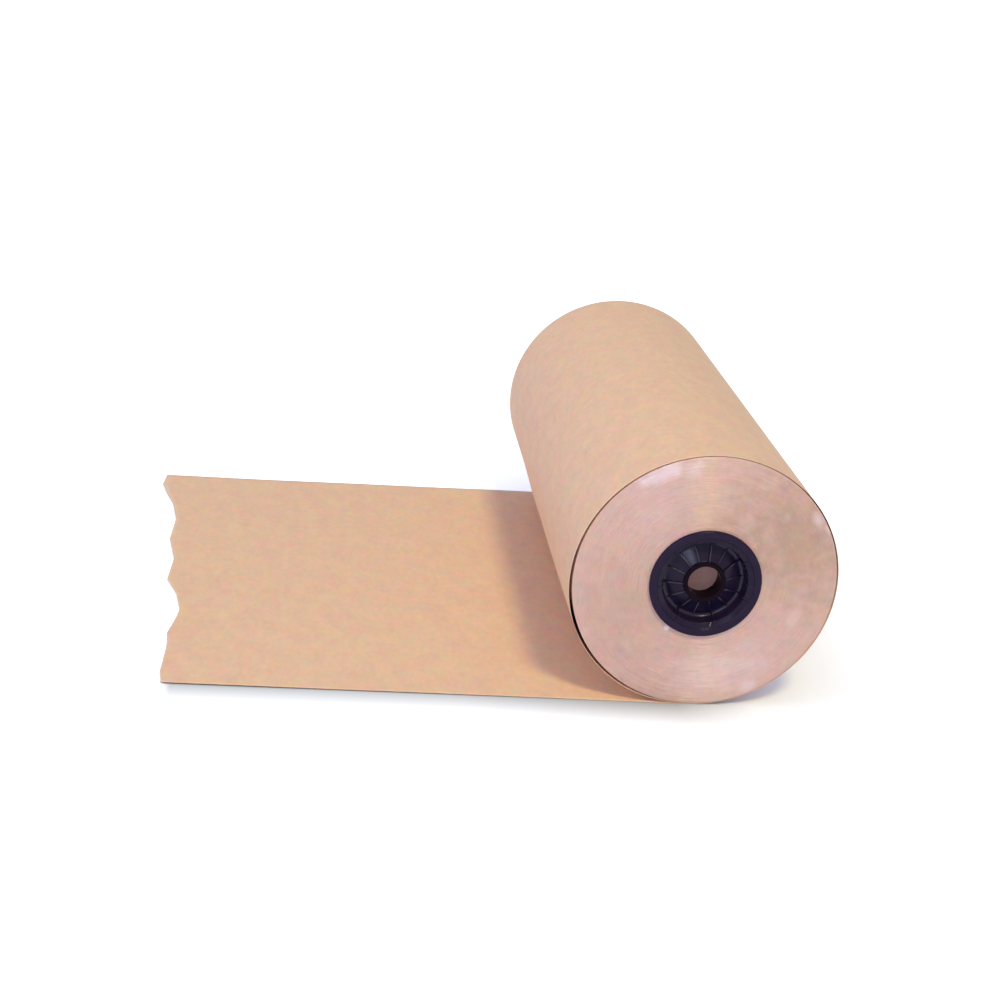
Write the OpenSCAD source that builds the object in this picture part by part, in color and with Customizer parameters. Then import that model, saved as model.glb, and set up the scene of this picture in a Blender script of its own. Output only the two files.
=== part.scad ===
// Kraft wrapping-paper roll: a counter roll on a board core with a moulded plug in
// each end, lying on a table with its free end drawn out to one side.
//
// Frame: +Z up and the roll's axis along Y. The origin is on the table, straight
// below the middle of the axis. The near end of the roll faces -Y, and the loose
// sheet lies towards -X. All sizes are in millimetres.

/* [Roll] */
// Outer diameter of the roll, with its outermost lap pulled tight
roll_d = 228.6; // [180:0.1:300]
// Width of the paper web, which is the length of the roll
paper_w = 508; // [300:1:920]
// Thickness of the paper
paper_t = 0.2; // [0.12:0.01:0.3]

/* [Winding] */
// Bands of layers that drifted sideways together while the roll was wound
band_count = 18; // [6:1:30]
// Furthest that a band stands proud of the roll's end, or lies back from it
band_drift = 0.45; // [0.1:0.05:1]

/* [Outer lap] */
// How far the loosened lap stands off the winding where it sags most
lap_slack = 3; // [1:0.1:5]
// Share of the way round the lap at which it sags most
lap_sag_share = 0.87; // [0.7:0.01:0.92]
// How far the lap stands off at the two sides of the roll
lap_ease = 0.7; // [0:0.1:1.5]
// Running gap between the winding and the lap that it turns in
lap_gap = 0.3; // [0.2:0.05:0.5]
// Gap between the lap's tucked end and the sheet that it lies on
tuck_gap = 0.1; // [0.05:0.05:0.2]
// Angle that each flat of the lap covers
lap_step = 4; // [2:1:6]

/* [Loose sheet] */
// Length drawn off, from below the roll's axis to the deepest notch of the torn edge
drawn_l = 447; // [400:1:900]
// Longest point of the torn edge past its deepest notch
tear_l = 43; // [10:1:60]
// Height that the free end curls up off the table
curl_h = 1.5; // [1:0.5:20]
// Length of sheet that curls
curl_l = 330; // [150:1:400]
// How far the far edge of the sheet runs in by its free end
edge_run_in = 14; // [0:1:30]
// Flats along the curl
curl_steps = 14; // [8:1:24]

/* [Core tube] */
// Inside diameter of the board core
core_bore_d = 76.2; // [70:0.1:80]
// Wall of the board core
core_wall = 4.5; // [3:0.1:8]

/* [Plug flange] */
// Diameter of the flange that stops the plug on the end of the roll
flange_d = 96.6; // [94:0.1:120]
// Thickness of the flange
flange_t = 3.4; // [2.4:0.1:6]
// Rounding of the flange's edge
flange_round = 1.4; // [0.5:0.1:2]
// Width of the flat ring on the flange's face
flange_ring = 5; // [3:0.1:6]

/* [Plug cup] */
// Gap between the skirt and the core, which the crush ribs take up
skirt_gap = 0.4; // [0.3:0.1:1]
// Wall of the skirt
skirt_wall = 1.8; // [1.5:0.1:3]
// Depth of the skirt inside the core
skirt_l = 28; // [22:0.5:50]
// Length of the skirt's tapered nose
nose_l = 3; // [1:0.5:4]
// Height of the funnel's foot above the flange's seat
funnel_foot = 0.8; // [0.6:0.1:1.2]
// Depth of the plug's floor below the roll's end
floor_depth = 12.8; // [10:0.1:16]
// Thickness of the floor
floor_t = 2; // [1.5:0.1:4]
// Slope that eases the corner where the floor meets the skirt
floor_corner = 1; // [0.5:0.1:2.5]

/* [Plug hub] */
// Bore for the spindle of a dispenser
bore_d = 28.6; // [20:0.1:34]
// Wall of the hub round the bore
hub_wall = 3.7; // [2:0.1:5]
// Depth of the hub's rim below the roll's end
hub_depth = 0.5; // [0:0.1:8]

/* [Plug ribs] */
// Ribs across the floor, from the hub to the skirt, with a low rib between each two
rib_count = 7; // [4:1:10]
// Thickness of a rib
rib_t = 1.5; // [1:0.1:3]
// Height of a rib above the floor
rib_h = 2.4; // [1:0.1:5]
// Height of a low rib above the floor
low_rib_h = 1.2; // [0.5:0.1:3]
// Crush ribs round the skirt
crush_count = 14; // [6:1:24]
// Width of a crush rib
crush_w = 1.6; // [1:0.1:3]
// Running gap left between the crush ribs and the core
crush_gap = 0.08; // [0.03:0.01:0.1]

/* [Hidden] */
$fn = 96;

sheet_colour = [0.87, 0.72, 0.58];
winding_colour = [0.80, 0.63, 0.54];
board_colour = [0.52, 0.41, 0.33];
plug_colour = [0.05, 0.05, 0.09];

bite = 0.5;         // how far one wall of a moulding runs into the next
small_chamfer = 0.6;

// The roll stands on its outermost lap. Under the winding lie the running gap, the
// tucked end of the lap, the gap below that end, and the sheet itself.
axis_z = roll_d / 2;
winding_r = axis_z - 2 * paper_t - tuck_gap - lap_gap;
core_r = core_bore_d / 2;
core_out_r = core_r + core_wall;
flange_r = flange_d / 2;

// Places a shape made along Z on the roll's axis, with its Z towards -Y.
module along_axis() {
    translate([0, 0, axis_z]) rotate([90, 0, 0]) children();
}

// ---------------------------------------------------------------- loose sheet

// Half the width of the flat of paper that the roll stands on.
foot_x = axis_z * tan(lap_step / 2);
sheet_end = drawn_l + tear_l;
curl_start = sheet_end - curl_l;

// Height of the sheet's underside at a distance drawn off from below the axis.
function sheet_z(x) = x < curl_start ? 0 : curl_h * pow((x - curl_start) / curl_l, 2);

// The torn edge, as [share of the paper's width from the near edge, share of tear_l].
tear = [[0, 0.09], [0.04, 0.15], [0.146, 0.12], [0.194, 0.16], [0.26, 0.04], [0.295, 0],
        [0.365, 0.13], [0.43, 0.39], [0.533, 0.34], [0.633, 0.53], [0.741, 0.49],
        [0.83, 0.64], [0.9, 0.88], [0.946, 1], [1, 0.95]];

module loose_sheet() {
    xs = concat([-foot_x], [for (i = [0:curl_steps]) curl_start + i * curl_l / curl_steps]);
    underside = [for (x = xs) [-x, sheet_z(x)]];
    topside = [for (i = [len(xs) - 1:-1:0]) [-xs[i], sheet_z(xs[i]) + paper_t]];
    outline = concat([[foot_x, paper_w / 2], [foot_x, -paper_w / 2]],
                     [for (p = tear) [-drawn_l - p[1] * tear_l,
                                      p[0] * (paper_w - edge_run_in) - paper_w / 2]]);
    color(sheet_colour) intersection() {
        rotate([90, 0, 0])
            linear_extrude(paper_w, center = true) polygon(concat(underside, topside));
        translate([0, 0, -curl_h])
            linear_extrude(3 * curl_h) polygon(outline);
    }
}

// ------------------------------------------------------------------ outer lap

// The lap rises from the sheet at the foot, goes once round the winding, and tucks
// in under it. Angles run from +X towards +Z, in flats that clear the winding.
lap_start = -90 + lap_step / 2;
lap_flats = floor(352 / lap_step);
function lap_angle(i) = lap_start + i * lap_step;

// Sag of the loosened lap, widest low on the side where the sheet leaves, and how
// far it stands off at the roll's two sides.
sag_power = ln(0.5) / ln(lap_sag_share);
function lap_sag(share) = lap_slack * sin(180 * pow(share, sag_power))
    + lap_ease * pow(cos(lap_start + share * lap_flats * lap_step), 2);
function lap_r(share) = (winding_r + lap_gap + (1 - share) * (paper_t + tuck_gap)
    + lap_sag(share)) / cos(lap_step / 2);
function lap_point(i, out) = (lap_r(i / lap_flats) + out) * [cos(lap_angle(i)), sin(lap_angle(i))]
    + [0, axis_z];

module outer_lap() {
    inside = [for (i = [1:lap_flats]) lap_point(i, 0)];
    outside = [for (i = [lap_flats:-1:1]) lap_point(i, paper_t)];
    color(sheet_colour) rotate([90, 0, 0])
        linear_extrude(paper_w, center = true)
            polygon(concat([[foot_x, paper_t]], inside, outside, [[foot_x, 0]]));
}

// ---------------------------------------------------------------- wound paper

// Sideways drift of each band of layers. What the flange lies on stays square.
seat_r = flange_r + 1;
band_w = (winding_r - seat_r) / band_count;
function drift(i) = band_drift * sin(i * 137) * (i % 3 == 0 ? 1 : 0.5);

module wound_paper() {
    near = [for (i = [0:band_count - 1]) for (side = [0, 1])
            [seat_r + (i + side) * band_w, drift(i) - paper_w / 2]];
    far = [for (i = [band_count - 1:-1:0]) for (side = [1, 0])
           [seat_r + (i + side) * band_w, drift(i) + paper_w / 2]];
    color(winding_colour) along_axis() rotate_extrude()
        polygon(concat([[core_out_r, -paper_w / 2], [seat_r, -paper_w / 2]], near, far,
                       [[seat_r, paper_w / 2], [core_out_r, paper_w / 2]]));
}

// ------------------------------------------------------------------ core tube

module core_tube() {
    color(board_colour) along_axis() rotate_extrude()
        polygon([[core_r + small_chamfer, -paper_w / 2], [core_out_r, -paper_w / 2],
                 [core_out_r, paper_w / 2], [core_r + small_chamfer, paper_w / 2],
                 [core_r, paper_w / 2 - small_chamfer], [core_r, small_chamfer - paper_w / 2]]);
}

// ------------------------------------------------------------------ core plug

// A plug is made with the seat of its flange at z = 0 and its face towards +Z, so
// a depth below the roll's end is a negative z.
ring_r = flange_r - flange_round - flange_ring;     // inner edge of the flat ring
skirt_r = core_r - skirt_gap;
skirt_in_r = skirt_r - skirt_wall;
mouth_r = skirt_in_r + 0.4;                         // the skirt's draft
nose_taper = 1;
floor_z = -floor_depth;
under_floor_z = floor_z - floor_t;
bore_r = bore_d / 2;
hub_r = bore_r + hub_wall;
hub_z = -hub_depth;
first_rib = 187;                                    // where the plug was pressed in

// Half section of the flange, with its outer edge rounded.
module flange_section() {
    translate([ring_r, 0]) square([flange_r - flange_round - ring_r, flange_t]);
    translate([ring_r, 0]) square([flange_r - ring_r, flange_t - flange_round]);
    translate([flange_r - flange_round, flange_t - flange_round])
        circle(flange_round, $fn = 48);
}

// Flange, funnel, skirt and floor in one wall, turned round the axis.
module plug_cup() {
    rotate_extrude() union() {
        flange_section();
        polygon([[ring_r, flange_t], [mouth_r, funnel_foot],
                 [skirt_in_r, floor_z + floor_corner], [skirt_in_r - floor_corner, floor_z],
                 [skirt_in_r - floor_corner, under_floor_z], [skirt_in_r, under_floor_z],
                 [skirt_in_r, nose_l - skirt_l],
                 [skirt_r - nose_taper, -skirt_l], [skirt_r, nose_l - skirt_l],
                 [skirt_r, 0], [ring_r + bite, 0], [ring_r + bite, flange_t]]);
        translate([hub_r - bite, under_floor_z])
            square([skirt_in_r + 2 * bite - hub_r, floor_t]);
    }
}

// Hub round the bore, chamfered at both rims.
module plug_hub() {
    rotate_extrude()
        polygon([[bore_r, under_floor_z + small_chamfer],
                 [bore_r + small_chamfer, under_floor_z], [hub_r, under_floor_z],
                 [hub_r, hub_z - small_chamfer], [hub_r - small_chamfer, hub_z],
                 [bore_r + small_chamfer, hub_z], [bore_r, hub_z - small_chamfer]]);
}

// Rib that stands a height above the floor, from the hub to the skirt.
module floor_rib(height) {
    translate([hub_r - bite, -rib_t / 2, floor_z - bite])
        cube([skirt_in_r + 2 * bite - hub_r, rib_t, height + bite]);
}

// Crush ribs: slips down the skirt, with the core's own curve, that grip the board.
module crush_ribs() {
    rib_l = skirt_l - nose_l;
    intersection() {
        translate([0, 0, -rib_l]) cylinder(r = core_r - crush_gap, h = rib_l + bite);
        for (i = [0:crush_count - 1]) rotate([0, 0, i * 360 / crush_count])
            translate([skirt_r - bite, -crush_w / 2, -rib_l])
                cube([skirt_gap + 2 * bite, crush_w, rib_l + bite]);
    }
}

module core_plug() {
    color(plug_colour) {
        plug_cup();
        plug_hub();
        for (i = [0:rib_count - 1]) {
            rotate([0, 0, first_rib + i * 360 / rib_count]) floor_rib(rib_h);
            rotate([0, 0, first_rib + (i + 0.5) * 360 / rib_count]) floor_rib(low_rib_h);
        }
        crush_ribs();
    }
}

module near_plug() {
    translate([0, -paper_w / 2, axis_z]) rotate([90, 0, 0]) core_plug();
}

module far_plug() {
    translate([0, paper_w / 2, axis_z]) rotate([-90, 0, 0]) core_plug();
}

loose_sheet();
outer_lap();
wound_paper();
core_tube();
near_plug();
far_plug();
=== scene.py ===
"""Looks of a kraft wrapping-paper roll that lies on a table with its end drawn out."""
import math
import random

import bmesh
import bpy
from mathutils import Matrix, Vector, noise


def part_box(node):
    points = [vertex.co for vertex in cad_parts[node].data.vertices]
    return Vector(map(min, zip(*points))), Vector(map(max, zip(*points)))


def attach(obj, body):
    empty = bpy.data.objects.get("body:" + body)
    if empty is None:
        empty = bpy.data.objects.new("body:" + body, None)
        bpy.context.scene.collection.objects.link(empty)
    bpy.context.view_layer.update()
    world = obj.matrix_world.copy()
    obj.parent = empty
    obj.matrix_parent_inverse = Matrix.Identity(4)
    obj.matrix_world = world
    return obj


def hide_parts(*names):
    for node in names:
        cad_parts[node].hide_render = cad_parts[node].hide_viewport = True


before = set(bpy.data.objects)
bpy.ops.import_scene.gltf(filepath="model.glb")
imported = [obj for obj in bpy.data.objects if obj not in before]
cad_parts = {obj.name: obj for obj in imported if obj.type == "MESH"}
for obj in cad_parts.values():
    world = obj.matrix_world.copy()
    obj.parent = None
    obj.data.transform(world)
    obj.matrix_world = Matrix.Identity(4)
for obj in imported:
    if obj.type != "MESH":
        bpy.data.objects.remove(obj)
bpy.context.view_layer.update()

# --------------------------------------------------------------------- camera

EYE = (-0.3497, -1.5486, 0.6702)
YAW, PITCH, TILT = 0.1295, -0.3593, 0.0983
LENS_MM, SENSOR_MM = 61.31, 36
NEAR_CLIP = 0.05


def make_camera():
    """A camera at EYE, turned by YAW, lowered by PITCH and tilted about its own view."""
    ahead = Vector((math.sin(YAW) * math.cos(PITCH), math.cos(YAW) * math.cos(PITCH),
                    math.sin(PITCH)))
    level = Vector((math.cos(YAW), -math.sin(YAW), 0))
    above = level.cross(ahead)
    right = level * math.cos(TILT) + above * math.sin(TILT)
    up = above * math.cos(TILT) - level * math.sin(TILT)
    camera = bpy.data.objects.new("camera", bpy.data.cameras.new("camera"))
    camera.data.lens = LENS_MM
    camera.data.sensor_width = SENSOR_MM
    camera.data.clip_start = NEAR_CLIP
    axes = Matrix((right, up, -ahead)).transposed().to_4x4()
    camera.matrix_world = Matrix.Translation(EYE) @ axes
    bpy.context.scene.collection.objects.link(camera)
    bpy.context.scene.camera = camera


make_camera()

# ---------------------------------------------------------------------- sizes

MM = 0.001
tube_low, tube_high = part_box("core_tube")
AXIS_Z = (tube_low.z + tube_high.z) / 2
HALF_L = tube_high.y
CORE_OUT_R = (tube_high.x - tube_low.x) / 2
WINDING_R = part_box("wound_paper")[1].x
FLANGE_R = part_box("near_plug")[1].x

PAPER_T = 0.2 * MM
LAP_GAP = 0.3 * MM
TUCK_GAP = 0.1 * MM
LAP_SLACK = 2.3 * MM        # sag of the loosened lap where it is widest
LAP_SAG_SHARE = 0.87        # share of the way round the lap where it sags most
LAP_EASE = 0.7 * MM         # how far the lap stands off at the roll's two sides
LAP_TURN = 354              # degrees of the roll that the lap covers
LAP_TIGHT = 0.85            # share of the sag that is gone where the lap lies tight
LAP_LOOSE_TO, LAP_TIGHT_FROM = 0.02, 0.17   # places across the paper, in metres
DRAWN_L = 447 * MM          # from below the axis to the deepest notch of the tear
TEAR_L = 43 * MM
CURL_H = 1.0 * MM
CURL_L = 330 * MM
EDGE_RUN_IN = 14 * MM       # how far the far edge of the sheet runs in by its free end
EDGE_LIFT = 0.45 * MM       # how far the sheet's long edges lift off the table
EDGE_FLAT = 0.86            # share of the half width that stays down
COCKLE_H = 0.35 * MM

# The torn edge, as (share of the paper's width from the near edge, share of TEAR_L).
TEAR = ((0, 0.09), (0.04, 0.15), (0.146, 0.12), (0.194, 0.16), (0.26, 0.04), (0.295, 0),
        (0.365, 0.13), (0.43, 0.39), (0.533, 0.34), (0.633, 0.53), (0.741, 0.49),
        (0.83, 0.64), (0.9, 0.88), (0.946, 1), (1, 0.95))

# A plug is made with its flange's seat at z = 0 and its face towards +Z, in mm.
FLANGE, FLANGE_T, FLANGE_RING = 48.3, 3.4, 42.0
FUNNEL, FUNNEL_Z = 41.4, 2.4
THROAT, THROAT_Z = 36.9, -0.2
SKIRT_IN, SKIRT_OUT, SKIRT_END, NOSE = 35.9, 37.7, -28, -25
FLOOR, FLOOR_UNDER, CONE_RISE = -12.8, -14.8, 8.5
HUB, BORE, HUB_RIM, HUB_END = 18, 14.3, -1.6, -18.6
CORNER = 5.0                # the round where the skirt meets the floor
RIB_T, RIB_H, LOW_RIB_H, RIB_ROUND = 1.5, 2.4, 1.2, 0.6
FUNNEL_RIB_H, FUNNEL_RIB_SINK = 0.9, 0.3
WALL_RIB, WALL_RIB_TOP = 1.6, 1.0   # how far a tall rib stands off the skirt as it climbs
WALL_RIB_Z = 0.2            # height at which its run up the skirt ends
BITE = 0.5                  # how deep a rib reaches into what carries it
RIBS, CRUSH_RIBS, CRUSH_W, CRUSH_R = 7, 14, 1.6, 38.02
FIRST_RIB = math.radians(187)

# ---------------------------------------------------------------- mesh helpers


def ease(low, high, value):
    """0 below low, 1 above high, and smooth between them."""
    t = min(1, max(0, (value - low) / (high - low)))
    return t * t * (3 - 2 * t)


def new_object(name, vertices, faces, material, smooth_below=None):
    """A mesh object at the origin. Edges sharper than smooth_below degrees stay crisp."""
    mesh = bpy.data.meshes.new(name)
    mesh.from_pydata(vertices, [], faces)
    mesh.materials.append(material)
    thing = bpy.data.objects.new(name, mesh)
    bpy.context.scene.collection.objects.link(thing)
    if smooth_below is not None:
        smooth(mesh, smooth_below)
    return thing


def smooth(mesh, below):
    """Turns the faces outwards and shades them smooth, but for edges over an angle."""
    bm = bmesh.new()
    bm.from_mesh(mesh)
    bmesh.ops.recalc_face_normals(bm, faces=bm.faces)
    limit = math.radians(below)
    for face in bm.faces:
        face.smooth = True
    for edge in bm.edges:
        edge.smooth = len(edge.link_faces) == 2 and edge.calc_face_angle() < limit
    bm.to_mesh(mesh)
    bm.free()


# ------------------------------------------------------------- material helpers


class Nodes:
    """Adds nodes to a tree and links them, with inputs given as values or sockets."""

    def __init__(self, tree):
        self.tree = tree

    def add(self, kind, ins=None, out=0, **settings):
        node = self.tree.nodes.new(kind)
        for key, value in settings.items():
            setattr(node, key, value)
        for key, value in (ins or {}).items():
            if isinstance(value, bpy.types.NodeSocket):
                self.tree.links.new(value, node.inputs[key])
            else:
                node.inputs[key].default_value = value
        return node.outputs[out] if out is not None else node

    def maths(self, operation, a, b=0.0):
        return self.add("ShaderNodeMath", {0: a, 1: b}, operation=operation)

    def vector(self, operation, a, b=(0, 0, 0), out=0):
        return self.add("ShaderNodeVectorMath", {0: a, 1: b}, out=out, operation=operation)

    def stretched(self, vector, scale):
        return self.vector("MULTIPLY", vector, scale)

    def noise(self, vector, scale, detail=3.0, roughness=0.55, distortion=0.0, out="Fac"):
        return self.add("ShaderNodeTexNoise", {
            "Vector": vector, "Scale": scale, "Detail": detail, "Roughness": roughness,
            "Distortion": distortion}, out=out)

    def spread(self, value, low, high, to_low=0.0, to_high=1.0):
        return self.add("ShaderNodeMapRange", {"Value": value, "From Min": low, "From Max": high,
                                               "To Min": to_low, "To Max": to_high})

    def mix(self, share, a, b, blend="MIX"):
        return self.add("ShaderNodeMix", {0: share, 6: a, 7: b}, out=2, data_type="RGBA",
                        blend_type=blend, clamp_factor=True)

    def bump(self, height, distance, strength, normal=None):
        ins = {"Height": height, "Distance": distance, "Strength": strength}
        if normal is not None:
            ins["Normal"] = normal
        return self.add("ShaderNodeBump", ins)


def colour(red, green, blue):
    """A colour on the screen's scale of 0 to 255, as linear light."""
    def linear(value):
        value /= 255
        return value / 12.92 if value <= 0.04045 else ((value + 0.055) / 1.055) ** 2.4
    return (linear(red), linear(green), linear(blue), 1)


def new_material(name, **constants):
    """A material with a Principled BSDF whose named sockets take constant values."""
    material = bpy.data.materials.new(name)
    material.use_nodes = True
    shader = material.node_tree.nodes["Principled BSDF"]
    for socket, value in constants.items():
        shader.inputs[socket.replace("_", " ")].default_value = value
    return material, Nodes(material.node_tree), shader


def new_group(name, ins, outs):
    """A shader group: a Vector input, then floats as {name: default} and outputs as {name: kind}."""
    tree = bpy.data.node_groups.new(name, "ShaderNodeTree")
    tree.interface.new_socket("Vector", in_out="INPUT", socket_type="NodeSocketVector")
    for key, value in ins.items():
        socket = tree.interface.new_socket(key, in_out="INPUT", socket_type="NodeSocketFloat")
        socket.default_value = value
    for key, kind in outs.items():
        tree.interface.new_socket(key, in_out="OUTPUT", socket_type="NodeSocket" + kind)
    nodes = Nodes(tree)
    given = nodes.add("NodeGroupInput", out=None)
    return nodes, given.outputs, nodes.add("NodeGroupOutput", out=None).inputs


def use_group(nodes, tree, vector, **values):
    """The outputs of a group that is placed with its own values."""
    ins = {"Vector": vector, **{key.replace("_", " "): value for key, value in values.items()}}
    return nodes.add("ShaderNodeGroup", ins, out=None, node_tree=tree).outputs


BROAD_MOTTLE, FINE_MOTTLE = 70, 210     # patches per metre, about


def pulp_group():
    """Pulp: an even mottle of tints, matted fibres, faint streaks along X and dark shives."""
    n, given, result = new_group(
        "pulp", {"Mottle Depth": 0.15, "Fibre Size": 0.6 * MM, "Grain": 4.0},
        {"Mottle": "Vector", "Fibre": "Float", "Streak": "Float", "Shive": "Float"})
    vector = given["Vector"]
    fine = n.maths("DIVIDE", 1.0, given["Fibre Size"])
    short = n.maths("DIVIDE", 1.0, given["Grain"])
    along = n.add("ShaderNodeCombineXYZ", {"X": short, "Y": 1.0, "Z": 1.0})
    laid = n.vector("MULTIPLY", vector, along)
    fibre = n.noise(laid, fine, detail=3, roughness=0.6, distortion=0.4)
    streak = n.noise(n.stretched(laid, (0.12, 1, 1)), n.maths("MULTIPLY", fine, 0.12), detail=4)
    bits = n.noise(laid, n.maths("MULTIPLY", fine, 0.45), detail=1)
    shive = n.spread(bits, 0.76, 0.82)
    broad = n.stretched(n.noise(vector, BROAD_MOTTLE, detail=1, out="Color"), (0.45, 0.45, 0.6))
    small = n.stretched(n.noise(vector, FINE_MOTTLE, detail=2, roughness=0.6, out="Color"),
                        (0.55, 0.55, 0.4))
    both = n.vector("ADD", broad, small)
    depth = n.maths("MULTIPLY", given["Mottle Depth"], 2.0)
    swing = n.vector("MULTIPLY", n.vector("SUBTRACT", both, (0.5, 0.5, 0.5)), depth)
    mottle = n.vector("ADD", swing, (1, 1, 1))
    for name, value in {"Mottle": mottle, "Fibre": fibre, "Streak": streak, "Shive": shive}.items():
        n.tree.links.new(value, result[name])
    return n.tree


PULP = pulp_group()

KRAFT = colour(226, 188, 156)
SHIVE_BROWN = colour(150, 104, 72)
TORN_PALE = colour(236, 208, 182)


def paper_colour(n, pulp, base, depth):
    """Kraft's colour: the mottle on a base, darkened a little in streaks and fibres."""
    light = n.maths("ADD", n.spread(pulp["Streak"], 0.3, 0.7, -depth, depth),
                    n.spread(pulp["Fibre"], 0.3, 0.7, -depth * 1.5, depth * 1.5))
    shaded = n.vector("MULTIPLY", pulp["Mottle"], n.maths("ADD", 1.0, light))
    tint = n.mix(1.0, base, shaded, blend="MULTIPLY")
    return n.mix(n.maths("MULTIPLY", pulp["Shive"], 0.35), tint, SHIVE_BROWN)


def kraft_sheet_material():
    """Machine-glazed kraft. The pattern runs along the web, on its own map in metres."""
    material, n, shader = new_material("kraft_sheet", IOR=1.45, Specular_IOR_Level=0.2)
    web = n.add("ShaderNodeUVMap", uv_map="web")
    pulp = use_group(n, PULP, n.stretched(web, (1, 0.6, 1)),
                     Mottle_Depth=0.24, Fibre_Size=1.0 * MM, Grain=1.6)
    tint = paper_colour(n, pulp, KRAFT, 0.010)
    torn = n.add("ShaderNodeAttribute", out="Fac", attribute_name="torn")
    tint = n.mix(n.maths("MULTIPLY", torn, 0.5), tint, TORN_PALE)
    n.tree.links.new(tint, shader.inputs["Base Color"])
    n.tree.links.new(n.spread(pulp["Streak"], 0.3, 0.7, 0.56, 0.66), shader.inputs["Roughness"])
    cockle = n.noise(n.stretched(web, (0.8, 1, 1)), 45, detail=2)
    matted = n.bump(pulp["Fibre"], distance=0.05 * MM, strength=0.6)
    cockled = n.bump(cockle, distance=0.4 * MM, strength=0.5, normal=matted)
    n.tree.links.new(cockled, shader.inputs["Normal"])
    return material


LAYER_LEAN = 0.22           # how steeply the cut edges lean, as rise over run
RING_WANDER = 2 * MM        # how far the rings' pattern drifts on its way round
EDGE_PINK = colour(205, 162, 147)
# Pale for crushed layers and for painted highlights; brown for painted shade.
SCUFF_AND_SHEEN_PALE = colour(238, 212, 218)
SHEEN_SHADE_BROWN = (0.73, 0.70, 0.56, 1)
# Places on the near end, as (azimuth, radius, half turn, half width, strength): pale ones, some
# crushed layers and some painted highlights of the layers' sheen, and broad painted shade.
SCUFF_AND_SHEEN_SPOTS = ((116, 108, 17, 9, 0.65), (103, 104, 6, 12, 0.3), (35, 109, 5, 6, 0.45),
          (29, 112, 4, 2.5, 0.4), (-123, 51, 3, 3, 0.8), (-20, 86, 9, 8, 0.2),
          (-62, 108, 6, 6, 0.3), (-78, 88, 42, 28, 0.25))
SHEEN_SHADE_SPOTS = ((30, 84, 58, 62, 1.0), (-165, 72, 55, 55, 0.45), (95, 58, 60, 22, 0.3))


def round_the_axis(n):
    """A place, its offset from the roll's axis split in three, and its radius and angle there."""
    place = n.add("ShaderNodeTexCoord", out="Object")
    offset = n.vector("SUBTRACT", place, (0, 0, AXIS_Z))
    split = n.add("ShaderNodeSeparateXYZ", {0: offset}, out=None).outputs
    radius = n.vector("LENGTH", n.stretched(offset, (1, 0, 1)), out="Value")
    angle = n.maths("ARCTAN2", split["Z"], split["X"])
    return place, split, radius, angle


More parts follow.
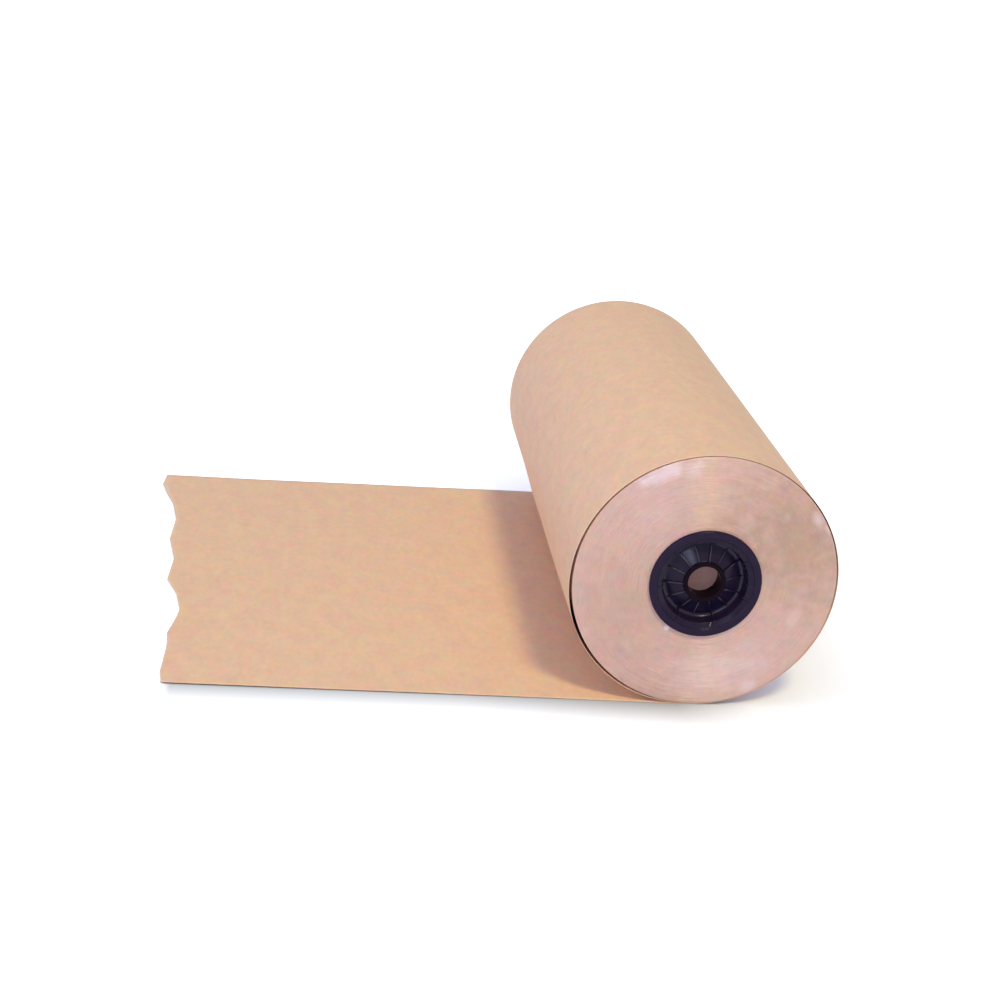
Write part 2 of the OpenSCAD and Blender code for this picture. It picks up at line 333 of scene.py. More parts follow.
def kraft_edge_material():
    """The winding's cut edges: mottled, catching light across the layers, with painted shade and
    highlights.
    """
    material, n, shader = new_material("kraft_edges", IOR=1.7, Specular_IOR_Level=1.0,
                                       Anisotropic=0.9)
    place, split, radius, angle = round_the_axis(n)
    end = n.maths("MULTIPLY", split["Y"], 0.5)
    rings = n.add("ShaderNodeCombineXYZ", {
        "X": n.maths("MULTIPLY", n.maths("SINE", angle), RING_WANDER), "Y": radius,
        "Z": n.maths("ADD", end, n.maths("MULTIPLY", n.maths("COSINE", angle), RING_WANDER))})
    layers = n.noise(rings, 2600, detail=2, roughness=0.7)
    bands = n.noise(rings, 260, detail=4, roughness=0.65)
    patches = n.noise(place, 90, detail=2)
    pulp = use_group(n, PULP, place, Mottle_Depth=0.3, Fibre_Size=1.1 * MM, Grain=1.0)
    tint = paper_colour(n, pulp, EDGE_PINK, 0.015)
    light = n.maths("ADD", n.spread(layers, 0.3, 0.7, -0.02, 0.02),
                    n.spread(bands, 0.3, 0.7, -0.02, 0.02))
    tint = n.mix(1.0, tint, n.maths("ADD", 1.0, light), blend="MULTIPLY")
    near_end = n.spread(split["Y"], 0, 1 * MM, 1, 0)
    # Paints shade and highlights in sectors of the near end, and pale crushed spots.
    for spots, inner, blend, shade in ((SHEEN_SHADE_SPOTS, 0.0, "MULTIPLY", SHEEN_SHADE_BROWN),
                                       (SCUFF_AND_SHEEN_SPOTS, 0.15, "MIX", SCUFF_AND_SHEEN_PALE)):
        for azimuth, middle, half_turn, half_width, strength in spots:
            turned = n.maths("SUBTRACT", angle, math.radians(azimuth))
            turned = n.add("ShaderNodeMath", {0: turned, 1: math.pi, 2: -math.pi}, operation="WRAP")
            turned = n.maths("DIVIDE", turned, math.radians(half_turn))
            off = n.maths("DIVIDE", n.maths("SUBTRACT", radius, middle * MM), half_width * MM)
            apart = n.add("ShaderNodeCombineXYZ", {"X": turned, "Y": off})
            reach = n.maths("ADD", n.vector("LENGTH", apart, out="Value"),
                            n.spread(patches, 0.3, 0.7, -0.25, 0.25))
            share = n.add("ShaderNodeMapRange", {"Value": reach, "From Min": inner, "From Max": 1.1,
                                                 "To Min": strength, "To Max": 0.0},
                          interpolation_type="SMOOTHSTEP")
            tint = n.mix(n.maths("MULTIPLY", share, near_end), tint, shade, blend=blend)
    n.tree.links.new(tint, shader.inputs["Base Color"])
    n.tree.links.new(n.spread(bands, 0.3, 0.7, 0.5, 0.6), shader.inputs["Roughness"])
    across = n.add("ShaderNodeCombineXYZ", {"X": split["X"], "Z": split["Z"]})
    tangent = n.add("ShaderNodeVectorTransform", {0: across}, vector_type="VECTOR",
                    convert_from="OBJECT", convert_to="WORLD")
    n.tree.links.new(tangent, shader.inputs["Tangent"])
    facing = n.add("ShaderNodeNewGeometry", out="Normal")
    lean = n.maths("MULTIPLY", n.spread(layers, 0.4, 0.6, -1, 1), LAYER_LEAN)
    leaning = n.vector("ADD", facing, n.vector("MULTIPLY", n.vector("NORMALIZE", tangent), lean))
    relief = n.maths("ADD", bands, pulp["Fibre"])
    bumped = n.bump(relief, distance=0.15 * MM, strength=0.5, normal=n.vector("NORMALIZE", leaning))
    n.tree.links.new(bumped, shader.inputs["Normal"])
    return material


PLY_PITCH = 95 * MM
BOARD_BUFF, SEAM_BROWN = colour(234, 203, 186), colour(96, 74, 60)
PAINTED_CORE_GLOW = (0.044, 0.049, 0.067, 1)           # a painted glow, standing in for light that bounces along inside the core
GLOW_DEPTH_FROM, GLOW_DEPTH_TO = 15 * MM, 45 * MM


def core_board_material():
    """Spiral-wound board with the seams of its plies, and a painted glow within for light bounced
    along it.
    """
    material, n, shader = new_material("core_board", Roughness=0.85, Specular_IOR_Level=0.2)
    place, split, radius, angle = round_the_axis(n)
    turn = n.maths("ADD", n.maths("DIVIDE", split["Y"], PLY_PITCH),
                   n.maths("DIVIDE", angle, math.tau))
    seam = n.maths("ABSOLUTE", n.maths("SUBTRACT", n.maths("FRACT", turn), 0.5))
    groove = n.spread(seam, 0.0, 0.012, 1.0, 0.0)
    pulp = use_group(n, PULP, place, Mottle_Depth=0.3, Fibre_Size=1.0 * MM, Grain=1.0)
    tint = paper_colour(n, pulp, BOARD_BUFF, 0.05)
    tint = n.mix(n.maths("MULTIPLY", groove, 0.6), tint, SEAM_BROWN)
    n.tree.links.new(tint, shader.inputs["Base Color"])
    # A painted glow deep inside the core, away from its ends.
    deep = n.spread(n.maths("ABSOLUTE", split["Y"]), HALF_L - GLOW_DEPTH_TO,
                    HALF_L - GLOW_DEPTH_FROM, 1, 0)
    glow = n.mix(1.0, tint, PAINTED_CORE_GLOW, blend="MULTIPLY")
    n.tree.links.new(glow, shader.inputs["Emission Color"])
    n.tree.links.new(deep, shader.inputs["Emission Strength"])
    height = n.maths("SUBTRACT", pulp["Fibre"], n.maths("MULTIPLY", groove, 2.0))
    n.tree.links.new(n.bump(height, distance=0.15 * MM, strength=0.7), shader.inputs["Normal"])
    return material


PLUG_DARK, PLUG_PALE = (0.0100, 0.0055, 0.0220, 1), (0.0180, 0.0100, 0.0300, 1)
# The hub's brown is painted shade in its bore.
RING_BLUE, HUB_SHADE_BROWN = (0.0150, 0.0050, 0.0280, 1), (0.0080, 0.0035, 0.0060, 1)
PLUG_DUST = colour(150, 128, 132)
CUP_GLOSS, RING_GLOSS, RIB_GLOSS, CORNER_GLOSS, HUB_DULL = 0.15, 0.13, 0.52, 0.28, 0.12


def plug_plastic_material():
    """Blue-black moulding: a polished ring and ribs, and a textured cup, a little scratched."""
    material, n, shader = new_material("plug_plastic", IOR=1.45)
    place, split, radius, _ = round_the_axis(n)
    ring = n.spread(radius, FLANGE_RING * MM, (FLANGE_RING + 1.2) * MM)
    above_seat = n.maths("SUBTRACT", n.maths("ABSOLUTE", split["Y"]), HALF_L)
    cone = n.spread(radius, HUB * MM, SKIRT_IN * MM, (FLOOR + CONE_RISE) * MM, FLOOR * MM)
    ribs = n.spread(n.maths("SUBTRACT", above_seat, cone), 0.7 * MM, 1.1 * MM)
    ribs = n.maths("MULTIPLY", ribs, n.spread(radius, (HUB + 1) * MM, (HUB + 2) * MM))
    inside = n.spread(radius, (SKIRT_IN - 5) * MM, (SKIRT_IN - 4) * MM, 1, 0)
    ribs = n.maths("MULTIPLY", ribs, inside)
    low = n.spread(above_seat, (FLOOR + 5) * MM, (FLOOR + 6) * MM, 1, 0)
    corner = n.maths("MULTIPLY", n.spread(radius, (SKIRT_IN - 4) * MM, (SKIRT_IN - 3) * MM), low)
    hub = n.spread(radius, (HUB - 0.2) * MM, (HUB + 0.2) * MM, 1, 0)
    haze = n.noise(place, 60, detail=4, roughness=0.65)
    scratch = n.noise(n.stretched(place, (1, 0.06, 0.25)), 1600, detail=2)
    scratched = n.spread(scratch, 0.68, 0.76)
    specks = n.spread(n.noise(place, 2200, detail=1), 0.74, 0.8)
    base = n.mix(n.spread(haze, 0.35, 0.7), PLUG_DARK, PLUG_PALE)
    base = n.mix(n.maths("MULTIPLY", ring, 0.7), base, RING_BLUE)
    # Painted shade: the hub and its bore darker and warmer.
    base = n.mix(n.maths("MULTIPLY", hub, 0.9), base, HUB_SHADE_BROWN)
    dusty = n.mix(n.maths("MULTIPLY", specks, 0.12), base, PLUG_DUST)
    n.tree.links.new(dusty, shader.inputs["Base Color"])
    gloss = n.spread(ring, 0, 1, CUP_GLOSS, RING_GLOSS)
    for mask, level in ((ribs, RIB_GLOSS), (corner, CORNER_GLOSS)):
        gloss = n.maths("MAXIMUM", gloss, n.spread(mask, 0, 1, CUP_GLOSS, level))
    gloss = n.maths("SUBTRACT", gloss, n.maths("MULTIPLY", hub, HUB_DULL))
    n.tree.links.new(gloss, shader.inputs["Specular IOR Level"])
    rough = n.maths("ADD", n.spread(haze, 0.3, 0.7, 0.17, 0.27),
                    n.maths("MULTIPLY", scratched, 0.12))
    n.tree.links.new(rough, shader.inputs["Roughness"])
    skin = n.maths("SUBTRACT", n.noise(place, 900, detail=2), scratched)
    n.tree.links.new(n.bump(skin, distance=0.015 * MM, strength=0.5), shader.inputs["Normal"])
    return material


SHEET = kraft_sheet_material()
EDGES = kraft_edge_material()
BOARD = core_board_material()
PLASTIC = plug_plastic_material()

# ------------------------------------------------------- the paper's loose end

LAP_ROWS = 118
SHEET_ROWS = 84
TEAR_ROWS = 10
TEAR_ROWS_L = 12 * MM       # length before the deepest notch over which rows take the tear's shape
COLUMNS = 160
EDGE_SPLITS = 4             # points along the torn edge for each column of paper
RAGGED_H, RAGGED_PER_M = 0.5 * MM, 260      # how ragged the tear is, in two sizes
FUZZ_H, FUZZ_PER_M = 0.35 * MM, 900


def tear_at(y):
    """Length of the sheet past its deepest notch, at a place across the paper."""
    share = (y + HALF_L) / (2 * HALF_L)
    for (a, low), (b, high) in zip(TEAR, TEAR[1:]):
        if share <= b:
            break
    t = min(1, max(0, (share - a) / (b - a)))
    wave = (low + (high - low) * t) * TEAR_L
    tufts = RAGGED_H * noise.noise(Vector((y * RAGGED_PER_M, 3.1, 0)))
    fibres = FUZZ_H * noise.noise(Vector((y * FUZZ_PER_M, 7.7, 0)))
    return wave + tufts + fibres


def lap_point(turn, y):
    """A point on the lap's middle line, at a share of the way round from the foot."""
    angle = math.radians(-90 + LAP_TURN * turn)
    loose = 1 - LAP_TIGHT * ease(LAP_LOOSE_TO, LAP_TIGHT_FROM, y)
    skew = math.log(0.5) / math.log(LAP_SAG_SHARE)
    sag = LAP_SLACK * loose * math.sin(math.pi * turn ** skew)
    wander = 1 + 0.25 * noise.noise(Vector((y * 5, turn * 6, 1.7)))
    off = sag * wander + LAP_EASE * math.cos(angle) ** 2 * wander
    radius = WINDING_R + LAP_GAP + (1 - turn) * (PAPER_T + TUCK_GAP) + off + PAPER_T / 2
    return radius * math.cos(angle), AXIS_Z + radius * math.sin(angle)


def sheet_height(drawn, y):
    """Height of the sheet's middle line at a distance drawn off, and across the paper."""
    end = DRAWN_L + TEAR_L
    curl = CURL_H * (max(0, drawn - end + CURL_L) / CURL_L) ** 2
    side = abs(y) / HALF_L
    lift = EDGE_LIFT * (max(0, side - EDGE_FLAT) / (1 - EDGE_FLAT)) ** 1.5 * ease(0.03, 0.16, drawn)
    lift *= 0.75 + 0.5 * noise.noise(Vector((drawn * 7, math.copysign(4, y), 0)))
    cockle = COCKLE_H * (0.5 + noise.noise(Vector((drawn * 9, y * 6, 5)))) * ease(0.02, 0.12, drawn)
    return PAPER_T / 2 + max(0, curl + lift + cockle)


def across(y, drawn):
    """Place across the drawn sheet, whose far edge runs in towards its free end."""
    share = (y + HALF_L) / (2 * HALF_L)
    return y - share * EDGE_RUN_IN * drawn / (DRAWN_L + TEAR_L)


def kraft_web():
    """The outer lap and the drawn sheet, one web of paper with a torn end."""
    ys = [HALF_L * (2 * j / COLUMNS - 1) for j in range(COLUMNS + 1)]
    rows, runs = [], []
    run = 0
    for i in range(LAP_ROWS):
        turn = 1 - i / LAP_ROWS
        rows.append([(*lap_point(turn, y), y) for y in ys])
        runs.append([run] * len(ys))
        run += math.radians(LAP_TURN / LAP_ROWS) * WINDING_R
    start = run
    straight = DRAWN_L - TEAR_ROWS_L
    for i in range(SHEET_ROWS + 1):
        drawn = straight * i / SHEET_ROWS
        rows.append([(-drawn, sheet_height(drawn, y), across(y, drawn)) for y in ys])
        runs.append([start + drawn] * len(ys))
    for i in range(1, TEAR_ROWS + 1):
        lengths = [straight + (TEAR_ROWS_L + tear_at(y)) * i / TEAR_ROWS for y in ys]
        rows.append([(-d, sheet_height(d, y), across(y, d)) for d, y in zip(lengths, ys)])
        runs.append([start + d for d in lengths])
    vertices = [Vector((x, y, z)) for row in rows for x, z, y in row]
    runs = [d for row in runs for d in row]
    torn = [0.0] * len(vertices)
    wide = len(ys)
    last = (len(rows) - 1) * wide
    torn[last:last + wide] = [1.0] * wide
    between = []                # points between the columns along the torn edge
    for j in range(COLUMNS):
        extra = []
        for k in range(1, EDGE_SPLITS):
            y = ys[j] + (ys[j + 1] - ys[j]) * k / EDGE_SPLITS
            length = DRAWN_L + tear_at(y)
            extra.append(len(vertices))
            vertices.append(Vector((-length, across(y, length), sheet_height(length, y))))
            runs.append(start + length)
            torn.append(1.0)
        between.append(extra)
    faces = []
    for i in range(len(rows) - 1):
        for j in range(COLUMNS):
            a, b = i * wide + j, (i + 1) * wide + j
            far_side = between[j] if i == len(rows) - 2 else []
            faces.append([a, b, *far_side, b + 1, a + 1])
    web = new_object("kraft_web", vertices, faces, SHEET)
    mesh = web.data
    uv = mesh.uv_layers.new(name="web")
    for loop in mesh.loops:
        uv.data[loop.index].uv = (runs[loop.vertex_index], mesh.vertices[loop.vertex_index].co.y)
    mark = mesh.attributes.new("torn", "FLOAT", "POINT")
    mark.data.foreach_set("value", torn)
    for face in mesh.polygons:
        face.use_smooth = True
    thick = web.modifiers.new("thickness", "SOLIDIFY")
    thick.thickness = PAPER_T
    thick.offset = 0
    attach(web, "drawn_paper")
    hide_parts("loose_sheet", "outer_lap")


kraft_web()

# ------------------------------------------------------------ the wound paper

SEAT_R = FLANGE_R + 1.5 * MM    # the layers under the plug's flange lie flat
RING_SEGMENTS = 180
BAND_W = (0.5, 2.2)         # least and greatest width of a band of layers, in mm
LAST_BAND = 1.2 * MM        # the outermost layers, which make one band
# How far a band stands out: with its neighbours, by itself, and unevenly around its ring.
BAND_DRIFT, BAND_STEP, BAND_WOBBLE = 0.1 * MM, 0.09 * MM, 0.05 * MM
NEAR_SEED, FAR_SEED = 11, 23


def winding_profile(seed):
    """Radius, drift and wobble of each ring of the end, from the core outwards."""
    draw = random.Random(seed)
    rings = [(CORE_OUT_R, 0, 0), (SEAT_R, 0, 0)]
    radius, slow = SEAT_R, 0.0
    while radius < WINDING_R - LAST_BAND:
        width = draw.uniform(*BAND_W) * MM
        slow = 0.75 * slow + draw.uniform(-BAND_DRIFT, BAND_DRIFT)
        step = slow + draw.uniform(-BAND_STEP, BAND_STEP)
        wobble = draw.uniform(0, BAND_WOBBLE)
        outer = min(radius + width, WINDING_R)
        rings.append((radius, step, wobble))
        rings.append((outer, step, wobble))
        radius = outer
    rings.append((WINDING_R, rings[-1][1] - 0.1 * MM, 0))
    return rings


def wound_paper():
    """The winding, with bands of layers standing proud or lying back at both ends."""
    vertices = []
    loops = [(-1, ring) for ring in winding_profile(NEAR_SEED)]
    loops += [(1, ring) for ring in reversed(winding_profile(FAR_SEED))]
    for index, (end, (radius, drift, wobble)) in enumerate(loops):
        for k in range(RING_SEGMENTS):
            angle = math.tau * k / RING_SEGMENTS
            out = drift + wobble * math.sin(3 * angle + index)
            vertices.append((radius * math.cos(angle), end * (HALF_L + out),
                             AXIS_Z + radius * math.sin(angle)))
    faces = []
    for i in range(len(loops)):
        a, b = i * RING_SEGMENTS, (i + 1) % len(loops) * RING_SEGMENTS
        for k in range(RING_SEGMENTS):
            m = (k + 1) % RING_SEGMENTS
            faces.append([a + k, a + m, b + m, b + k])
    winding = new_object("paper_winding", vertices, faces, EDGES, smooth_below=30)
    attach(winding, "roll")
    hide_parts("wound_paper")


wound_paper()

# ------------------------------------------------------------------ core tube

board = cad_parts["core_tube"]
board.data.materials.clear()
board.data.materials.append(BOARD)

# ----------------------------------------------------------------- core plugs

LATHE_SEGMENTS = 128
ARC_POINTS = 7
WELD = 0.002                # points closer than this become one, in mm
SHARP = 38                  # edges sharper than this many degrees are rounded
EDGE_ROUND = 0.3
SMOOTH_PART, SMOOTH_WHOLE = 30, 40      # degrees below which a surface is shaded smooth


def fillet(points):
    """An outline given as (x, y, radius), with an arc of that radius at each corner."""
    line = []
    count = len(points)
    for i, (x, y, radius) in enumerate(points):
        here = Vector((x, y))
        back = Vector(points[i - 1][:2]) - here
        on = Vector(points[(i + 1) % count][:2]) - here
        if radius == 0:
            line.append(here)
            continue
        half = back.angle(on) / 2
        most = 0.49 * min(back.length, on.length)
        reach = min(radius / math.tan(half), most)
        start, end = here + back.normalized() * reach, here + on.normalized() * reach
        for k in range(ARC_POINTS):
            t = k / (ARC_POINTS - 1)
            line.append(start * (1 - t) ** 2 + here * 2 * t * (1 - t) + end * t ** 2)
    return line


def plug_cup():
    """Flange, funnel, skirt, floor and hub in one wall, turned round the axis."""
    line = fillet([(FLANGE, 0, 0.3), (FLANGE, FLANGE_T, 2.8), (FLANGE_RING, FLANGE_T, 0.8),
                   (FUNNEL, FUNNEL_Z, 0.9), (THROAT, THROAT_Z, 0.6), (SKIRT_IN, FLOOR, CORNER),
                   (HUB, FLOOR + CONE_RISE, 0.9), (HUB, HUB_RIM, 0.8), (BORE, HUB_RIM, 0.9),
                   (BORE, HUB_END, 0.6), (HUB, HUB_END, 0.6), (HUB, FLOOR_UNDER, 0.6),
                   (SKIRT_IN, FLOOR_UNDER, 0.9), (SKIRT_IN, NOSE, 0), (SKIRT_OUT - 1, SKIRT_END, 0.3),
                   (SKIRT_OUT, NOSE, 0), (SKIRT_OUT, 0, 0)])
    vertices, faces = [], []
    for k in range(LATHE_SEGMENTS):
        angle = math.tau * k / LATHE_SEGMENTS
        vertices += [Vector((p.x * math.cos(angle), p.x * math.sin(angle), p.y)) for p in line]
    size = len(line)
    for k in range(LATHE_SEGMENTS):
        a, b = k * size, (k + 1) % LATHE_SEGMENTS * size
        for i in range(size):
            j = (i + 1) % size
            faces.append([a + i, b + i, b + j, a + j])
    return vertices, faces


def joined(*solids):
    """Several solids' vertices and faces, as one list of each."""
    vertices, faces = [], []
    for points, sides in solids:
        faces += [[len(vertices) + i for i in side] for side in sides]
        vertices += points
    return vertices, faces


def upright_bar(low, high, width):
    """A bar between two sections that face +Z, each given as (inner radius, outer radius, z)."""
    half = width / 2
    vertices = [Vector((x, y, z)) for inner, outer, z in (low, high)
                for x, y in ((inner, -half), (outer, -half), (outer, half), (inner, half))]
    sides = [[i, (i + 1) % 4, (i + 1) % 4 + 4, i + 4] for i in range(4)]
    return vertices, [[3, 2, 1, 0], [4, 5, 6, 7]] + sides


def radial_rib(inner, outer, height):
    """A rib between two points (radius, height) of the cup's outline, rounded along its top."""
    half = RIB_T / 2
    section = fillet([(-half, -BITE, 0), (half, -BITE, 0),
                      (half, height, RIB_ROUND), (-half, height, RIB_ROUND)])
    count = len(section)
    ends = ((inner[0] - BITE, inner[1]), (outer[0] + BITE, outer[1]))
    vertices = [Vector((x, p.x, floor + p.y)) for x, floor in ends for p in section]
    faces = [list(range(count)), [count + i for i in reversed(range(count))]]
    for i in range(count):
        j = (i + 1) % count
        faces.append([i, count + i, count + j, j])
    return vertices, faces


def tall_rib():
    """A rib that runs along the floor, up the skirt and out across the flange's funnel."""
    across_floor = radial_rib((HUB, FLOOR + CONE_RISE), (SKIRT_IN, FLOOR), RIB_H)
    across_funnel = radial_rib((THROAT - BITE, THROAT_Z - FUNNEL_RIB_SINK), (FUNNEL, FUNNEL_Z),
                               FUNNEL_RIB_H)
    up_skirt = upright_bar((SKIRT_IN - WALL_RIB, SKIRT_OUT - BITE, FLOOR),
                           (THROAT - WALL_RIB_TOP, SKIRT_OUT - BITE, WALL_RIB_Z), RIB_T)
    return joined(across_floor, across_funnel, up_skirt)


def low_rib():
    """A low rib of the floor, which stands between two tall ones."""
    return radial_rib((HUB, FLOOR + CONE_RISE), (SKIRT_IN, FLOOR), LOW_RIB_H)


def crush_rib():
    """A slip down the skirt's outside, from the nose to the flange."""
    return upright_bar((SKIRT_OUT - BITE, CRUSH_R, NOSE), (SKIRT_OUT - BITE, CRUSH_R, BITE), CRUSH_W)


def rib_ring_tree():
    """Geometry nodes: sets ribs round the axis and joins them to the cup in one solid."""
    tree = bpy.data.node_groups.new("rib_ring", "GeometryNodeTree")
    tree.interface.new_socket("Geometry", in_out="INPUT", socket_type="NodeSocketGeometry")
    for name, kind in (("Rib", "Object"), ("Low Rib", "Object"), ("Crush Rib", "Object"),
                       ("Ribs", "Int"), ("Crush Ribs", "Int"), ("Finish", "Material")):
        tree.interface.new_socket(name, in_out="INPUT", socket_type="NodeSocket" + kind)
    tree.interface.new_socket("Geometry", in_out="OUTPUT", socket_type="NodeSocketGeometry")
    n = Nodes(tree)
    given = n.add("NodeGroupInput", out=None).outputs
    union = n.add("GeometryNodeMeshBoolean", out=None, operation="UNION", solver="EXACT")
    union.inputs["Self Intersection"].default_value = True
    tree.links.new(given["Geometry"], union.inputs["Mesh 2"])
    for shape, count, start in (("Rib", "Ribs", FIRST_RIB),
                                ("Low Rib", "Ribs", FIRST_RIB + math.pi / RIBS),
                                ("Crush Rib", "Crush Ribs", 0.0)):
        turn = n.maths("DIVIDE", math.tau, given[count])
        angle = n.maths("ADD", n.maths("MULTIPLY", n.add("GeometryNodeInputIndex"), turn), start)
        placed = n.add("GeometryNodeInstanceOnPoints", {
            "Points": n.add("GeometryNodePoints", {"Count": given[count]}),
            "Instance": n.add("GeometryNodeObjectInfo", {"Object": given[shape]}, out="Geometry"),
            "Rotation": n.add("ShaderNodeCombineXYZ", {"Z": angle})})
        solid = n.add("GeometryNodeRealizeInstances", {"Geometry": placed})
        tree.links.new(solid, union.inputs["Mesh 2"])
    whole = n.add("GeometryNodeRealizeInstances", {"Geometry": union.outputs["Mesh"]})
    done = n.add("GeometryNodeSetMaterial", {"Geometry": whole, "Material": given["Finish"]})
    tree.links.new(done, n.add("NodeGroupOutput", out=None).inputs["Geometry"])
    return tree


def core_plug_mesh():
    """One plug's mesh, in mm, seat at z = 0 and face towards +Z."""
    cup = new_object("plug_cup", *plug_cup(), PLASTIC)
    ribs = {"Rib": new_object("rib", *tall_rib(), PLASTIC),
            "Low Rib": new_object("low_rib", *low_rib(), PLASTIC),
            "Crush Rib": new_object("crush_rib", *crush_rib(), PLASTIC)}
    for shape in (cup, *ribs.values()):
        smooth(shape.data, SMOOTH_PART)
    tree = rib_ring_tree()
    ring = cup.modifiers.new("rib_ring", "NODES")
    ring.node_group = tree
    values = {"Ribs": RIBS, "Crush Ribs": CRUSH_RIBS, "Finish": PLASTIC, **ribs}
    for item in tree.interface.items_tree:
        if item.in_out == "INPUT" and item.name in values:
            ring[item.identifier] = values[item.name]
    graph = bpy.context.evaluated_depsgraph_get()
    mesh = bpy.data.meshes.new_from_object(cup.evaluated_get(graph))
    for shape in (cup, *ribs.values()):
        bpy.data.objects.remove(shape)
    bm = bmesh.new()
    bm.from_mesh(mesh)
    bmesh.ops.remove_doubles(bm, verts=bm.verts, dist=WELD)
    bmesh.ops.dissolve_degenerate(bm, edges=bm.edges, dist=WELD)
    sharp = [edge for edge in bm.edges
             if len(edge.link_faces) == 2 and edge.calc_face_angle() > math.radians(SHARP)]
    bmesh.ops.bevel(bm, geom=sharp, offset=EDGE_ROUND, segments=2, profile=0.5, affect="EDGES",
                    clamp_overlap=True)
    bm.to_mesh(mesh)
    bm.free()
    smooth(mesh, SMOOTH_WHOLE)
    return mesh


def core_plugs():
    """The plug for each end of the core, its face turned outwards."""
    plug = core_plug_mesh()
    for name, body, end in (("near_core_plug", "near_plug", -1),
                            ("far_core_plug", "far_plug", 1)):
        turned = Matrix(((1, 0, 0), (0, 0, end), (0, -end, 0))).to_4x4()
        place = Matrix.Translation((0, end * HALF_L, AXIS_Z)) @ turned @ Matrix.Scale(MM, 4)
        mesh = plug.copy()
        mesh.transform(place)
        piece = bpy.data.objects.new(name, mesh)
        bpy.context.scene.collection.objects.link(piece)
        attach(piece, body)
        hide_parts(body)


core_plugs()

# ------------------------------------------------------- floor, lights, world

FLOOR_SHADE = 0.82          # how much light the floor gives back
NEAR_GLOW, FAR_GLOW = 0.66, 1.0     # what is added to it where it is seen, so that it is white
GLOW_FROM, GLOW_TO = 0.5, 1.6       # distances over which the glow grows
FOOT_GLOW = 0.63            # share of the glow by the roll's near right foot: painted shade there
FOOT_MIDDLE = (120 * MM, -160 * MM, 0)
FOOT_FROM, FOOT_TO = 0.12, 0.34
NOOK_REACH = 125 * MM       # how far a nook under the roll looks for what hides the sky
NOOK_DARK, NOOK_OPEN = 0.12, 0.95   # openness at which the glow is gone, and at which it is whole: painted shade in nooks
EDGE_SHADE, EDGE_SHADE_W = 0.41, 46 * MM    # soft painted shadow along the sheet's near edge
EDGE_SHADE_ENDS = (4 * MM - DRAWN_L, -10 * MM)
EDGE_SHADE_FADE, EDGE_SHADE_TAIL = 12 * MM, 70 * MM     # how it ends at the left and the right
FLOOR_Z, FLOOR_REACH = -0.15 * MM, 40
FLOOR_TINT = (0.97, 1.0, 1.06, 1)
SKY = (0.38, 0.425, 0.61)
TABLE_MIDDLE = Vector((-0.15, 0, 0.05))


def seen_or_mirrored(n):
    """1 where the camera looks, straight or by way of gloss or glass, and 0 for other light."""
    path = n.add("ShaderNodeLightPath", out=None).outputs
    return n.maths("MAXIMUM", path["Is Camera Ray"],
                   n.maths("MAXIMUM", path["Is Glossy Ray"], path["Is Transmission Ray"]))


def sheet_shade(n, place):
    """A painted shadow: dim along the near edge of the sheet, and 1 away from it."""
    split = n.add("ShaderNodeSeparateXYZ", {0: place}, out=None).outputs
    left, right = EDGE_SHADE_ENDS
    near = n.maths("MINIMUM", n.spread(split["Y"], -HALF_L - EDGE_SHADE_W, -HALF_L),
                   n.spread(split["Y"], -HALF_L, EDGE_SHADE_FADE - HALF_L, 1, 0))
    along = n.maths("MULTIPLY", n.spread(split["X"], left - EDGE_SHADE_FADE, left),
                    n.spread(split["X"], right, right + EDGE_SHADE_TAIL, 1, 0))
    return n.spread(n.maths("MULTIPLY", near, along), 0, 1, 1.0, EDGE_SHADE)


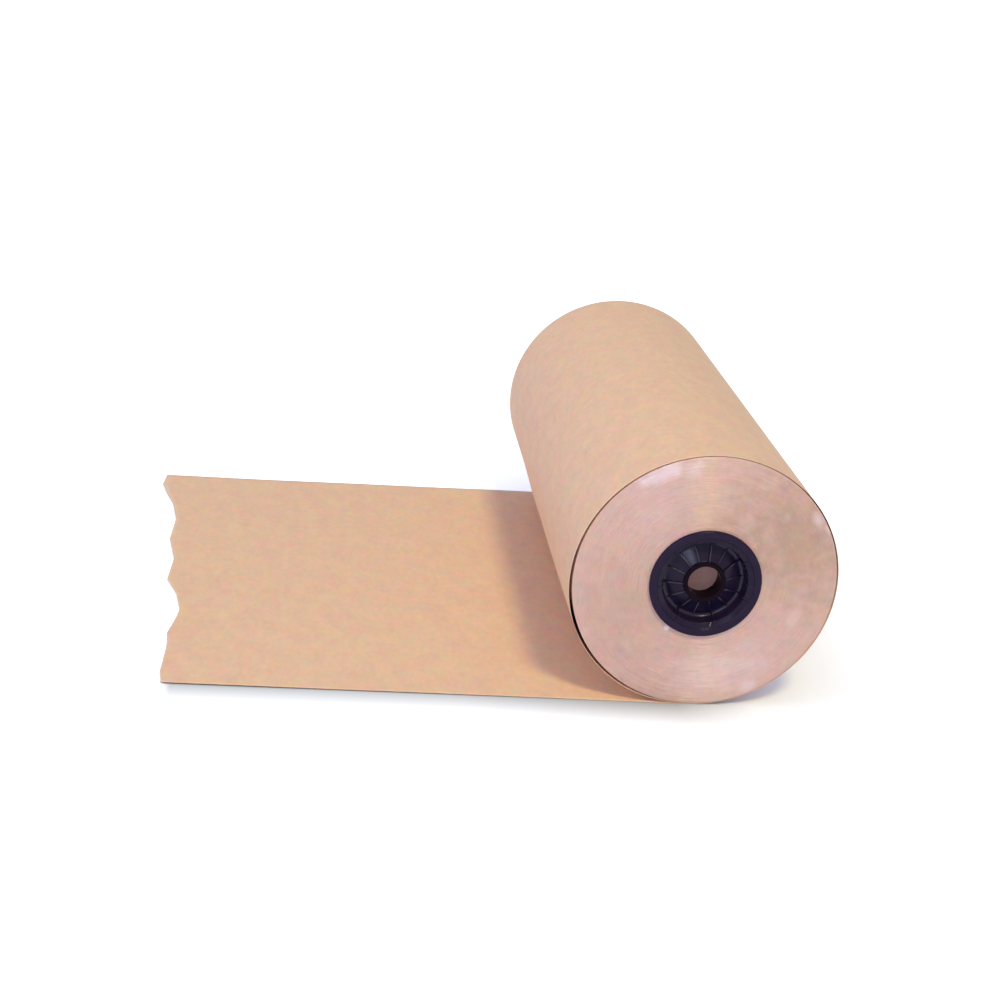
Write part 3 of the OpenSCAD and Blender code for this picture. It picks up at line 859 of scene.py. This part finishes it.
def pale_floor():
    """A plain floor, white where seen, but for shadows and painted shade by the roll and the sheet's
    edge.
    """
    material, n, shader = new_material("pale_floor", Roughness=0.9, Specular_IOR_Level=0.0,
                                       Emission_Strength=1.0)
    place = n.add("ShaderNodeTexCoord", out="Object")
    grain = n.noise(place, 3, detail=4)
    grain = n.spread(grain, 0.3, 0.7, FLOOR_SHADE - 0.01, FLOOR_SHADE + 0.01)
    shade = sheet_shade(n, place)
    shaded = n.mix(1.0, FLOOR_TINT, n.maths("MULTIPLY", grain, shade), blend="MULTIPLY")
    n.tree.links.new(shaded, shader.inputs["Base Color"])
    away = n.vector("LENGTH", place, out="Value")
    glow = n.spread(away, GLOW_FROM, GLOW_TO, NEAR_GLOW, FAR_GLOW)
    # Painted shade: the glow fades by the roll's near right foot and in nooks under it.
    by_foot = n.vector("LENGTH", n.vector("SUBTRACT", place, FOOT_MIDDLE), out="Value")
    glow = n.maths("MULTIPLY", glow, n.spread(by_foot, FOOT_FROM, FOOT_TO, FOOT_GLOW, 1.0))
    open_sky = n.add("ShaderNodeAmbientOcclusion", {"Distance": NOOK_REACH}, out="AO")
    clear = n.maths("MULTIPLY", shade, n.spread(open_sky, NOOK_DARK, NOOK_OPEN))
    glow = n.maths("MULTIPLY", seen_or_mirrored(n), n.maths("MULTIPLY", glow, clear))
    n.tree.links.new(glow, shader.inputs["Emission Color"])
    corners = [(x * FLOOR_REACH, y * FLOOR_REACH, FLOOR_Z)
               for x, y in ((-1, -1), (1, -1), (1, 1), (-1, 1))]
    new_object("floor", corners, [(0, 1, 2, 3)], material)


def soft_lamp(name, towards, distance, size, watts, tint):
    """A round lamp that looks at the middle of the table."""
    lamp = bpy.data.objects.new(name, bpy.data.lights.new(name, "AREA"))
    lamp.data.shape = "DISK"
    lamp.data.size = size
    lamp.data.energy = watts
    lamp.data.color = tint
    towards = Vector(towards).normalized()
    lamp.location = TABLE_MIDDLE + towards * distance
    lamp.rotation_euler = towards.to_track_quat("Z", "Y").to_euler()
    lamp.visible_camera = False
    bpy.context.scene.collection.objects.link(lamp)


def studio_light():
    """A warm key from above and in front, and two weak cool fills."""
    soft_lamp("key_light", towards=(0.14, -0.69, 1), distance=7, size=1.3, watts=243,
              tint=(1, 0.89, 0.44))
    soft_lamp("left_fill", towards=(-1, -0.2, 0.5), distance=3.5, size=2.6, watts=41,
              tint=(0.81, 0.78, 0.87))
    soft_lamp("front_fill", towards=(-0.16, -0.934, 0.32), distance=2.42, size=0.5, watts=9,
              tint=(0.6, 0.7, 1))


def soft_sky():
    """White where it is seen or mirrored, and a soft cool fill for everything else."""
    world = bpy.data.worlds.new("soft_sky")
    bpy.context.scene.world = world
    world.use_nodes = True
    n = Nodes(world.node_tree)
    background = world.node_tree.nodes["Background"]
    sky = n.mix(seen_or_mirrored(n), (*SKY, 1), (1, 1, 1, 1))
    n.tree.links.new(sky, background.inputs["Color"])


pale_floor()
studio_light()
soft_sky()
bpy.context.scene.view_settings.view_transform = "Standard"
